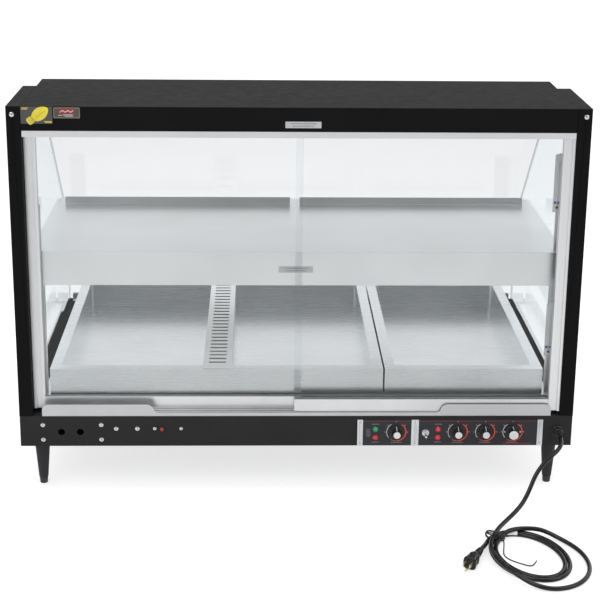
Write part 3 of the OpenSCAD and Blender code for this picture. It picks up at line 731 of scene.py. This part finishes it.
def add_dial(knob, panel):
    """The printed scale round a knob: a white rise, an orange-red span and ticks, and two dots on one."""
    centre = middle(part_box(knob))
    matrix = print_on(panel_front(panel), centre.x, centre.z)
    white = bmesh.new()
    arc_band(white, DIAL_RADIUS, 1.1, -128, -32, PRINT_FILM, matrix)
    for turn in (-90, -50, 0, 50, 90):
        tick = matrix @ Matrix.Rotation(math.radians(-turn), 4, "Z")
        extrude(white, bar(0.7, 2.6, 0, DIAL_RADIUS + 3.3), PRINT_FILM, tick)
    if knob == "knob_canopy":
        for side in (-1, 1):
            dot = matrix @ Matrix.Translation((side * 16.4 * MM, 0, 0))
            extrude(white, rounded_outline(3, 3, 1.45), PRINT_FILM, dot)
    add_object(knob + "_scale", finish_mesh(knob + "_scale", white, False), PRINT_WHITE)
    orange = bmesh.new()
    arc_band(orange, DIAL_RADIUS, 2.2, 32, 175, PRINT_FILM, matrix)
    arc_band(orange, DIAL_RADIUS, 1.0, 175, 215, PRINT_FILM, matrix)
    add_object(knob + "_span", finish_mesh(knob + "_span", orange, False), PRINT_ORANGE)


def add_knob(knob, cap_radius):
    """A control knob: bevelled skirt, fluted body, spun silver cap and a white pointer line."""
    low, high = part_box(knob)
    panel_y = panel_front("control_panel_right")
    out = (panel_y - low.y) / MM
    matrix = place((middle((low, high)).x, panel_y, middle((low, high)).z), (0, -1, 0))
    top = cap_radius + 1.2
    bm = bmesh.new()
    profile = [(13.2, 0.6), (14, 1.2), (14, 3.2), (13.4, 3.9), (12.2, 4.2), (11.8, 4.6, 1),
               (top + 0.6, out - 1.6, 1), (top, out - 0.7), (top - 0.6, out - 0.4),
               (cap_radius + 0.2, out - 0.4)]
    lathe(bm, profile, matrix, sides=96, flutes=12, depth=0.9)
    mesh = finish_mesh(knob + "_grip", bm)
    grip = add_object(knob + "_grip", mesh, MATERIALS["knob_black"], knob)
    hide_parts(knob)
    cap = bmesh.new()
    lathe(cap, [(cap_radius, out - 0.6), (cap_radius, out - 0.3), (cap_radius - 0.4, out),
                (cap_radius - 1.2, out), (cap_radius - 1.4, out - 0.15)], matrix)
    add_object(knob + "_cap", finish_mesh(knob + "_cap", cap), CAP_METAL, knob)
    line = bmesh.new()
    rise = math.hypot(out - 6.2, 11.4 - top)
    lean = math.degrees(math.atan2(11.8 - top - 0.6, out - 6.2))
    slope = matrix @ Matrix.Translation((0, (top + 11.8) / 2 * MM, (out + 4) / 2 * MM))
    slope = slope @ Matrix.Rotation(math.radians(-90 + lean), 4, "X")
    extrude(line, bar(1.1, rise), 0.45, slope)
    extrude(line, bar(1.1, 1.9, 0, 12.9), 0.25, matrix @ Matrix.Translation((0, 0, 4.0 * MM)))
    mesh = finish_mesh(knob + "_pointer", line, False)
    add_object(knob + "_pointer", mesh, PRINT_WHITE, knob)


def add_lamps(node, name, material):
    """Indicator lenses: a thin collar and a ringed dome each."""
    bm = bmesh.new()
    for low, high in loose_parts(node):
        centre = middle((low, high))
        front = panel_front("control_panel_right")
        lathe(bm, [(4.4, -2), (4.4, 0), (5.8, 0), (5.8, 1.2), (5.5, 1.6), (5.0, 1.7), (4.9, 2.2), (4.7, 3.1),
                   (4.1, 3.9), (3.6, 3.8), (3.1, 4.3), (2.5, 4.1), (1.9, 4.6), (1.2, 4.4), (0.5, 4.7)],
              place((centre.x, front, centre.z), (0, -1, 0)))
    lamps = add_object(name, finish_mesh(name, bm), material)
    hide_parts(node)


def add_toggle_nut():
    """The hexagonal nut and lock ring that hold the toggle switch."""
    centre = middle(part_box("toggle_lever"))
    low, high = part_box("toggle_switch")
    axis_z = middle((low, high)).z
    bm = bmesh.new()
    matrix = place((centre.x, panel_front("control_panel_right"), axis_z), (0, -1, 0))
    lathe(bm, [(6.6, 0), (7.6, 0.1), (7.6, 0.5), (7.4, 0.7), (6.6, 0.7)], matrix, sides=48)
    lathe(bm, [(6.2, 0.6), (6.9, 1.0), (6.9, 2.4), (6.2, 2.8), (5.5, 2.8)], matrix, sides=6)
    add_object("toggle_nut", finish_mesh("toggle_nut", bm), MATERIALS["zinc"])


def add_panel_print():
    """Thin rules and blank legend bars that stand for the panels' print."""
    for panel, accents in (("control_panel_left", False), ("control_panel_right", True)):
        low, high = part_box(panel)
        middle_x = (low.x + high.x) / 2
        width = (high.x - low.x) / MM
        y = low.y
        rules = [(bar(width - 6, 0.6), print_on(y, middle_x, high.z - 3.2 * MM))]
        if accents:
            rules.append((bar(62, 0.9), print_on(y, high.x - 42 * MM, low.z + 4.2 * MM)))
        add_print(panel + "_rule", PRINT_RED, rules)
    legends = []
    y = panel_front("control_panel_right")
    for knob in ("knob_humidity", "knob_deck", "knob_shelf", "knob_canopy"):
        centre = middle(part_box(knob))
        low_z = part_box("control_panel_right")[0].z
        legends.append((bar(24, 0.8), print_on(y, centre.x, low_z + 6.6 * MM)))
    for node in ("indicator_green", "indicators_red"):
        for box in loose_parts(node):
            centre = middle(box)
            up = 11.5 if centre.z > middle(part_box("control_panel_right")).z else -10.5
            legends.append((bar(15, 0.9), print_on(y, centre.x, centre.z + up * MM)))
    green = middle(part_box("indicator_green"))
    for k in range(5):
        legends.append((bar(9, 0.7), print_on(y, green.x - 15 * MM, green.z - (1 + 3.6 * k) * MM)))
    add_print("panel_legends", PRINT_GREY, legends)


for knob_name, panel_name in (("knob_humidity", "control_panel_left"), ("knob_deck", "control_panel_right"),
                              ("knob_shelf", "control_panel_right"), ("knob_canopy", "control_panel_right")):
    add_dial(knob_name, panel_name)
    add_knob(knob_name, 9.6 if knob_name == "knob_canopy" else 7.3)
add_lamps("indicator_green", "green_lamp", MATERIALS["lens_green"])
add_lamps("indicators_red", "red_lamps", MATERIALS["lens_red"])
add_toggle_nut()
add_panel_print()


# ---------------------------------------------------------------- screws
def add_screws():
    """Pan-head screws, one for each CAD screw, each with its cross recess drawn as painted shade: a thin
    dark cross laid on the head.
    """
    heads = bmesh.new()
    slots = bmesh.new()
    for low, high in loose_parts("case_screws"):
        r = (high.x - low.x) / 2 / MM
        face = (high.y - low.y) / MM
        lift = 2.2 if face > 5 else 1.6
        seat = low.y + lift * MM
        matrix = place((middle((low, high)).x, seat, middle((low, high)).z), (0, -1, 0), 20)
        profile = [(r * 0.5, -1), (r, 0), (r, lift * 0.35), (r * 0.93, lift * 0.62),
                   (r * 0.7, lift * 0.88), (r * 0.4, lift)]
        lathe(heads, profile, matrix, sides=32)
        # Painted shade: each recess is a thin dark film cross on the head, not a hollow.
        for turn in (0, 90):
            cut = matrix @ Matrix.Translation((0, 0, lift * 0.96 * MM))
            cut = cut @ Matrix.Rotation(math.radians(turn), 4, "Z")
            extrude(slots, bar(r * 0.7, r * 0.13), 0.1, cut)
    screws = add_object("screw_heads", finish_mesh("screw_heads", heads), MATERIALS["zinc"])
    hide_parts("case_screws")
    mesh = finish_mesh("screw_recesses", slots, False)
    add_object("screw_recesses", mesh, MATERIALS["knob_black"])


add_screws()


# ---------------------------------------------------------------- stickers and labels
def add_bulb_sticker():
    """A dark sticker with a plain yellow light bulb and blank corner bars, at the canopy's left end."""
    low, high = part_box("canopy_shell")
    x = low.x + 32 * MM
    z = high.z - 17.5 * MM
    add_print("bulb_sticker", LABEL_DARK, [(rounded_outline(62, 34, 1), print_on(low.y, x, z))])
    over = print_on(low.y - PRINT_FILM * MM, x, z)
    tilt = over @ Matrix.Translation((4 * MM, 1 * MM, 0)) @ Matrix.Rotation(math.radians(-54), 4, "Z")
    glass = []
    for k in range(32):
        a = 2 * math.pi * k / 32
        rise = 19 * math.cos(a)
        pinch = 1 - 0.28 * max(0, math.cos(a)) ** 2
        glass.append((-12.5 * math.sin(a) * pinch, 3.5 + rise))
    neck = tilt @ Matrix.Translation((0, -20 * MM, 0))
    corner_bars = [(bar(13, 1.1, -22.5, 14.5), over), (bar(11, 1.1, -23.5, 12.3), over),
                   (bar(15, 1.1, 22, -12.3), over), (bar(13, 1.1, 23, -14.5), over)]
    bulb = [(glass, tilt), (rounded_outline(15, 13, 4), neck)]
    add_print("bulb_icon", PRINT_YELLOW, bulb + corner_bars)
    lift = tilt @ Matrix.Translation((0, 0, PRINT_FILM * MM))
    lines = [(bar(14.4, 0.7, 0, y), lift) for y in (-15, -17.5, -20, -22.5)]
    lines.append((bar(0.7, 24, 1.5, 4), lift))
    add_print("bulb_lines", PRINT_OCHRE, lines)


def add_heat_sticker():
    """A small dark sticker with a thin gold border, a red badge with a wave, and blank bars."""
    low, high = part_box("canopy_shell")
    x = low.x + 91 * MM
    z = high.z - 12.5 * MM
    add_print("heat_sticker", LABEL_DARK, [(rounded_outline(52, 22, 0.8), print_on(low.y, x, z))])
    over = print_on(low.y - PRINT_FILM * MM, x, z)
    border = [(bar(50, 0.7, 0, 9.8), over), (bar(50, 0.7, 0, -9.8), over),
              (bar(0.7, 20, -24.8, 0), over), (bar(0.7, 20, 24.8, 0), over)]
    add_print("heat_border", PRINT_OCHRE, border)
    badge = over @ Matrix.Translation((0, 3 * MM, 0))
    add_print("heat_badge", PRINT_RED, [(rounded_outline(33, 9, 4.2), badge)])
    lift = badge @ Matrix.Translation((0, 0, PRINT_FILM * MM))
    wave = [(u, 1.5 * math.sin(u * 0.6) + 0.7) for u in range(-13, 14)]
    wave += [(u, 1.5 * math.sin(u * 0.6) - 0.7) for u in range(13, -14, -1)]
    bars = [(bar(20, 1, 2, -4), over), (bar(16, 1, 4, -6.5), over), (bar(7, 1, -13, -5), over)]
    add_print("heat_wave", PRINT_WHITE, [(wave, lift)] + bars)


def add_label(name, node, x, z, width, height):
    """A plain light label with two blank bars."""
    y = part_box(node)[0].y
    add_print(name, LABEL_GREY, [(rounded_outline(width, height, 0.8), print_on(y, x, z))])
    over = y - PRINT_FILM * MM
    bars = [(bar(width * 0.72, height * 0.14), print_on(over, x, z + height * 0.2 * MM)),
            (bar(width * 0.6, height * 0.14), print_on(over, x, z - height * 0.2 * MM))]
    add_print(name + "_bars", PRINT_GREY, bars)


add_bulb_sticker()
add_heat_sticker()
canopy_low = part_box("canopy_shell")[0]
shelf_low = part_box("shelf_shell")[0]
add_label("canopy_label", "canopy_shell", 5.5 * MM, canopy_low.z + 14.5 * MM, 71, 13)
add_label("shelf_label", "shelf_shell", -5.5 * MM, shelf_low.z + 34.5 * MM, 71, 14)


# ---------------------------------------------------------------- thermometers
def add_thermometer_print():
    """Red spirit, a blue band and scale ticks on each thermometer."""
    spirit = []
    ticks = []
    bands = []
    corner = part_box("thermometers")[0]
    x = corner.x + 8 * MM
    y = corner.y - 0.05 * MM
    face = y + 1.2 * MM
    for low, high in loose_parts("thermometers"):
        if high.z - low.z < 50 * MM or high.x - low.x < 10 * MM:
            continue
        spirit.append((rounded_outline(5.6, 5.6, 2.7), print_on(y, x, low.z + 10 * MM)))
        spirit.append((bar(1.6, 52), print_on(face - 0.2 * MM, x, low.z + 38 * MM)))
        bands.append((bar(13, 5), print_on(face, x, low.z + 20 * MM)))
        for k in range(16):
            at = print_on(face, x + 5 * MM, low.z + (28 + 5 * k) * MM)
            ticks.append((bar(3.4 if k % 5 else 5, 0.5), at))
    add_print("thermometer_spirit", PRINT_RED, spirit)
    add_print("thermometer_bands", PRINT_BLUE, bands)
    add_print("thermometer_ticks", PRINT_GREY, ticks)


add_thermometer_print()


# ---------------------------------------------------------------- stage
def add_floor():
    """A plain pale floor, brighter to the camera than to the metal that mirrors it."""
    bm = bmesh.new()
    bmesh.ops.create_grid(bm, x_segments=1, y_segments=1, size=12)
    mesh = bpy.data.meshes.new("floor")
    bm.to_mesh(mesh)
    bm.free()
    s = Shader("floor", specular_ior_level=0.1, roughness=0.9, emission_color=(1, 1, 1, 1))
    seen = s.add("LightPath").outputs["Is Camera Ray"]
    s.set("emission_strength", s.spread(seen, 0.3, 0.62, 0, 1))
    s.set("base_color", s.tint(s.noise(1.5), (0.53, 0.53, 0.53), (0.55, 0.55, 0.55)))
    mesh.materials.append(s.material)
    floor = bpy.data.objects.new("floor", mesh)
    bpy.context.scene.collection.objects.link(floor)


def add_light(name, at, target, size, watts):
    """A soft rectangular light that faces a target."""
    data = bpy.data.lights.new(name, "AREA")
    data.shape = "RECTANGLE"
    data.size, data.size_y = size
    data.energy = watts
    obj = bpy.data.objects.new(name, data)
    obj.location = at
    obj.rotation_euler = (Vector(target) - Vector(at)).to_track_quat("-Z", "Y").to_euler()
    bpy.context.scene.collection.objects.link(obj)


def add_world():
    """White studio surroundings: bright above and behind, dimmer in front, pure white to the camera."""
    world = bpy.data.worlds.new("studio")
    bpy.context.scene.world = world
    world.use_nodes = True
    tree = world.node_tree
    tree.nodes.clear()
    coords = tree.nodes.new("ShaderNodeTexCoord")
    split = tree.nodes.new("ShaderNodeSeparateXYZ")
    tree.links.new(coords.outputs["Generated"], split.inputs[0])
    front = tree.nodes.new("ShaderNodeMapRange")
    front.inputs["From Min"].default_value = -1.0
    front.inputs["From Max"].default_value = 0.3
    front.inputs["To Min"].default_value = 0.36
    front.inputs["To Max"].default_value = 1.38
    tree.links.new(split.outputs["Y"], front.inputs["Value"])
    room = tree.nodes.new("ShaderNodeBackground")
    tree.links.new(front.outputs[0], room.inputs["Strength"])
    seen = tree.nodes.new("ShaderNodeBackground")
    seen.inputs["Strength"].default_value = 1.0
    seen.inputs["Color"].default_value = (1, 1, 1, 1)
    path = tree.nodes.new("ShaderNodeLightPath")
    mix = tree.nodes.new("ShaderNodeMixShader")
    tree.links.new(path.outputs["Is Camera Ray"], mix.inputs[0])
    tree.links.new(room.outputs[0], mix.inputs[1])
    tree.links.new(seen.outputs[0], mix.inputs[2])
    output = tree.nodes.new("ShaderNodeOutputWorld")
    tree.links.new(mix.outputs[0], output.inputs["Surface"])


add_floor()
add_light("key", (-1.6, -2.2, 2.6), (0, 0, 0.4), (2.4, 1.8), 26)
add_light("fill", (2.2, -1.6, 1.8), (0, 0, 0.4), (2.0, 1.6), 14)
add_light("top", (0, 0.2, 3.0), (0, 0.1, 0.5), (3.0, 2.4), 26)
add_world()
bpy.context.scene.view_settings.view_transform = "Standard"
bpy.context.scene.view_settings.look = "None"
